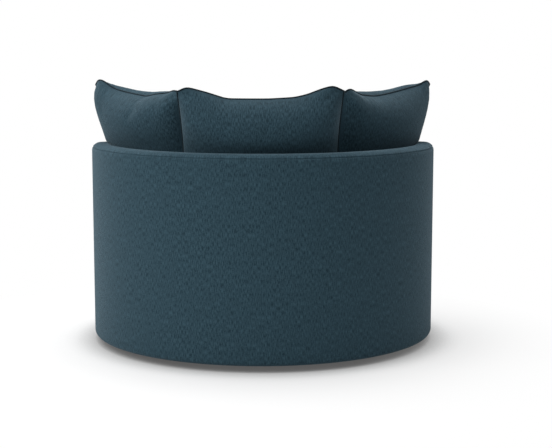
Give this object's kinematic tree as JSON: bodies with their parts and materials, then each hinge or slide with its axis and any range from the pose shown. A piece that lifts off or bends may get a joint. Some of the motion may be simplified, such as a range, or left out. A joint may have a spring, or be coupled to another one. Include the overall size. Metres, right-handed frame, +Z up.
{
  "type": "cuddle chair",
  "caption": "Round upholstered cuddle chair whose drum-shaped tub swivels on a floor disc, with a wrap-around back, a loose seat cushion and loose back cushions.",
  "frame": {"origin": "on the floor, on the swivel axis, at the middle of the round tub", "axes": "+Z up, -Y the way the sitter faces, +Y to the middle of the back, +X to the sitter's left"},
  "size_m": [1.2, 1.2, 0.9044],
  "materials": {
    "cover_fabric": "blue-green woven upholstery fabric, fine heather",
    "cushion_fabric": "the same woven fabric, self-piped",
    "foam": "open-cell upholstery foam",
    "wadding": "polyester wadding and fibre",
    "timber": "plain timber and plywood",
    "fibreboard": "thin bent fibreboard",
    "spring_steel": "drawn spring steel",
    "aluminium": "plain rolled aluminium",
    "screw_steel": "zinc plated screws",
    "black_plastic": "black nylon glide",
    "black_cloth": "black non-woven cloth"
  },
  "bodies": {
    "floor_base": {"floor_disc": "timber", "glide_1": "black_plastic", "glide_2": "black_plastic", "glide_3": "black_plastic", "glide_4": "black_plastic", "glide_5": "black_plastic", "glide_6": "black_plastic", "turntable_inner_ring": "aluminium", "inner_ring_screw_1": "screw_steel", "inner_ring_screw_2": "screw_steel", "inner_ring_screw_3": "screw_steel"},
    "ball_ring": {"ball_cage": "spring_steel"},
    "tub": {"turntable_outer_ring": "aluminium", "outer_ring_screw_1": "screw_steel", "outer_ring_screw_2": "screw_steel", "outer_ring_screw_3": "screw_steel", "back_stud_1": "timber", "back_stud_2": "timber", "back_stud_3": "timber", "back_stud_4": "timber", "back_stud_5": "timber", "arm_post_right": "timber", "arm_post_left": "timber", "front_post_right": "timber", "front_post_left": "timber", "seat_ring": "timber", "base_board": "timber", "skirt_ring": "timber", "top_rail": "timber", "front_rail": "timber", "seat_spring_1": "spring_steel", "seat_spring_2": "spring_steel", "seat_spring_3": "spring_steel", "seat_spring_4": "spring_steel", "seat_spring_5": "spring_steel", "deck_pad": "black_cloth", "dust_cover": "black_cloth", "outer_panel": "fibreboard", "outer_wadding": "wadding", "inner_panel": "fibreboard", "inner_foam": "foam", "rim_roll": "foam", "outside_cover": "cover_fabric", "inside_cover": "cover_fabric", "front_panel": "fibreboard", "front_wadding": "wadding", "front_cover": "cover_fabric", "arm_end_foam_left": "foam", "arm_end_foam_right": "foam", "arm_cover_left": "cover_fabric", "arm_cover_right": "cover_fabric"},
    "seat_cushion": {"seat_cushion_cover": "cushion_fabric", "seat_cushion_core": "foam"},
    "centre_cushion": {"centre_cushion_cover": "cushion_fabric", "centre_cushion_filling": "wadding"},
    "left_cushion": {"left_cushion_cover": "cushion_fabric", "left_cushion_filling": "wadding"},
    "right_cushion": {"right_cushion_cover": "cushion_fabric", "right_cushion_filling": "wadding"}
  },
  "joints": [
    {"name": "swivel", "type": "hinge", "parent": "floor_base", "child": "tub", "pos_m": [0, 0, 0.029], "axis": [0, 0, 1], "continuous": true},
    {"name": "ball_ring_turn", "type": "hinge", "parent": "floor_base", "child": "ball_ring", "pos_m": [0, 0, 0.029], "axis": [0, 0, 1], "continuous": true},
    {"name": "seat_cushion_lift", "type": "slide", "parent": "tub", "child": "seat_cushion", "axis": [0, 0, 1], "range_m": [0, 0.2]},
    {"name": "centre_cushion_lift", "type": "slide", "parent": "seat_cushion", "child": "centre_cushion", "axis": [0, 0.1908, 0.9816], "range_m": [0, 0.25]},
    {"name": "left_cushion_lift", "type": "slide", "parent": "seat_cushion", "child": "left_cushion", "axis": [-0.5647, -0.4255, 0.7071], "range_m": [0, 0.25]},
    {"name": "right_cushion_lift", "type": "slide", "parent": "seat_cushion", "child": "right_cushion", "axis": [0.5647, -0.4255, 0.7071], "range_m": [0, 0.25]}
  ],
  "couplings": [
    {"joint": "ball_ring_turn", "follows": "swivel", "ratio": 0.5}
  ]
}
